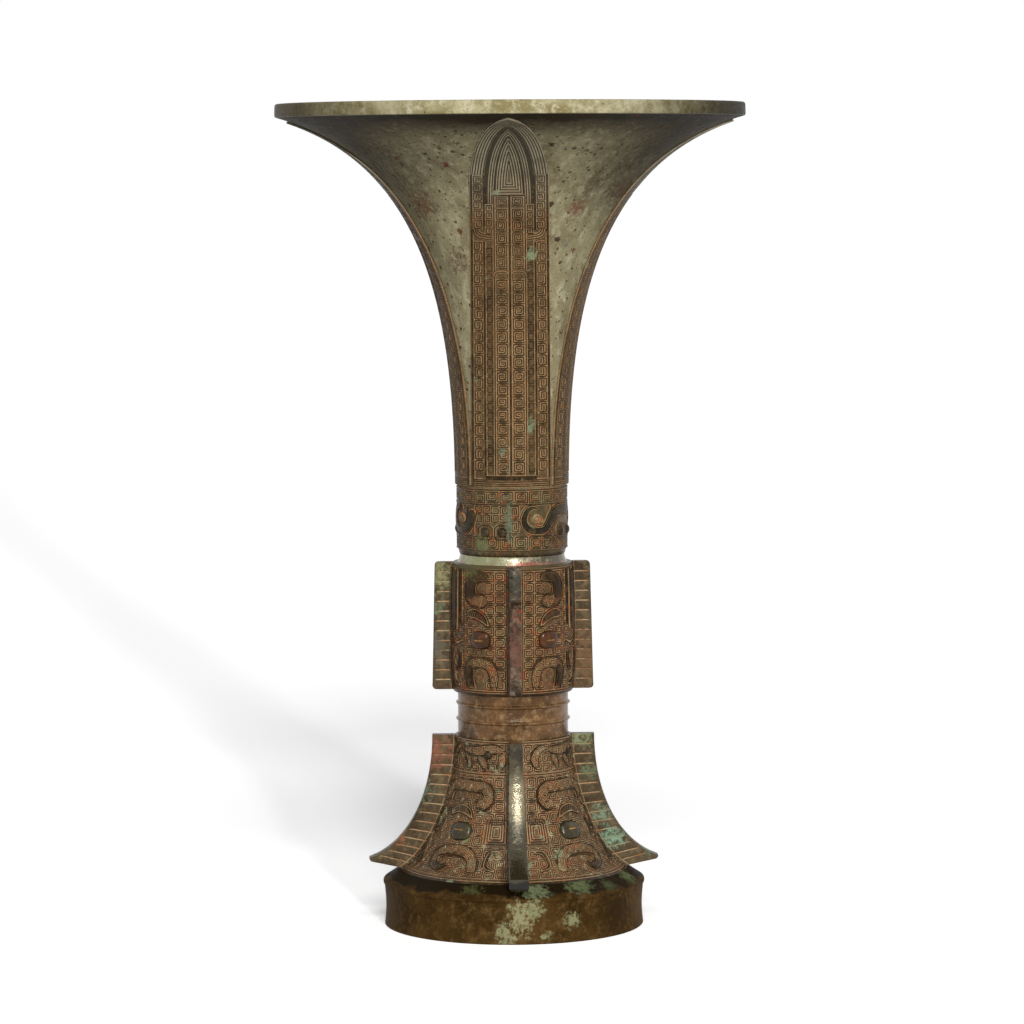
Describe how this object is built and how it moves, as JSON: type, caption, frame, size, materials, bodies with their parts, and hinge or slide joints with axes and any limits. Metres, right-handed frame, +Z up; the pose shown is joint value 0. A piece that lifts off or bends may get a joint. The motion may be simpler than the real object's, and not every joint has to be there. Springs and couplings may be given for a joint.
{
  "type": "ritual wine vessel",
  "caption": "Tall bronze gu: trumpet mouth on a slim neck, masked drum with scored flanges, and a flared hollow foot on a ring.",
  "frame": {"origin": "centre of the foot ring at the surface that the vessel stands on", "axes": "+Z up along the vessel axis; -Y faces the front mask, whose flange lies on the -Y side; +X to the right"},
  "size_m": [0.1736, 0.1736, 0.305],
  "materials": {
    "lip_bronze": "aged bronze, pale green and brown mottling, dull",
    "trumpet_bronze": "aged bronze, smooth grey-green patina with red-brown pits",
    "blade_bronze": "aged bronze, cast fret ground, brown with copper tones",
    "frieze_bronze": "aged bronze, cast fret ground, dark brown with green and red flecks",
    "groove_bronze": "aged bronze, smooth pale green",
    "drum_bronze": "aged bronze, cast mask relief, dark brown with cuprite red and tan recesses",
    "eye_bronze": "aged bronze, polished by handling, glossy red-brown",
    "flange_bronze": "aged bronze, scored, brown with green patches",
    "collar_bronze": "aged bronze, smooth, glossy red-brown",
    "bell_bronze": "aged bronze, cast mask relief, tan and brown with orange and green spots",
    "foot_ring_bronze": "aged bronze, smooth golden brown with pale green patches"
  },
  "bodies": {
    "root": {"foot_ring": "foot_ring_bronze", "foot_bell": "bell_bronze", "waist_collar": "collar_bronze", "vessel_floor": "collar_bronze", "mask_drum": "drum_bronze", "neck_groove": "groove_bronze", "frieze_band": "frieze_bronze", "trumpet_neck": "trumpet_bronze", "mouth_lip": "lip_bronze", "drum_flange_right": "flange_bronze", "foot_flange_right": "flange_bronze", "plantain_blade_right": "blade_bronze", "drum_flange_back": "flange_bronze", "foot_flange_back": "flange_bronze", "plantain_blade_back": "blade_bronze", "drum_flange_left": "flange_bronze", "foot_flange_left": "flange_bronze", "plantain_blade_left": "blade_bronze", "drum_flange_front": "flange_bronze", "foot_flange_front": "flange_bronze", "plantain_blade_front": "blade_bronze", "drum_eye_front_left": "eye_bronze", "drum_horn_front_left": "drum_bronze", "drum_brow_front_left": "drum_bronze", "drum_jaw_front_left": "drum_bronze", "drum_eye_front_right": "eye_bronze", "drum_horn_front_right": "drum_bronze", "drum_brow_front_right": "drum_bronze", "drum_jaw_front_right": "drum_bronze", "drum_eye_back_left": "eye_bronze", "drum_horn_back_left": "drum_bronze", "drum_brow_back_left": "drum_bronze", "drum_jaw_back_left": "drum_bronze", "drum_eye_back_right": "eye_bronze", "drum_horn_back_right": "drum_bronze", "drum_brow_back_right": "drum_bronze", "drum_jaw_back_right": "drum_bronze", "foot_eye_front_left": "eye_bronze", "foot_horn_front_left": "bell_bronze", "foot_brow_front_left": "bell_bronze", "foot_jaw_front_left": "bell_bronze", "foot_eye_front_right": "eye_bronze", "foot_horn_front_right": "bell_bronze", "foot_brow_front_right": "bell_bronze", "foot_jaw_front_right": "bell_bronze", "foot_eye_back_left": "eye_bronze", "foot_horn_back_left": "bell_bronze", "foot_brow_back_left": "bell_bronze", "foot_jaw_back_left": "bell_bronze", "foot_eye_back_right": "eye_bronze", "foot_horn_back_right": "bell_bronze", "foot_brow_back_right": "bell_bronze", "foot_jaw_back_right": "bell_bronze"}
  },
  "joints": []
}
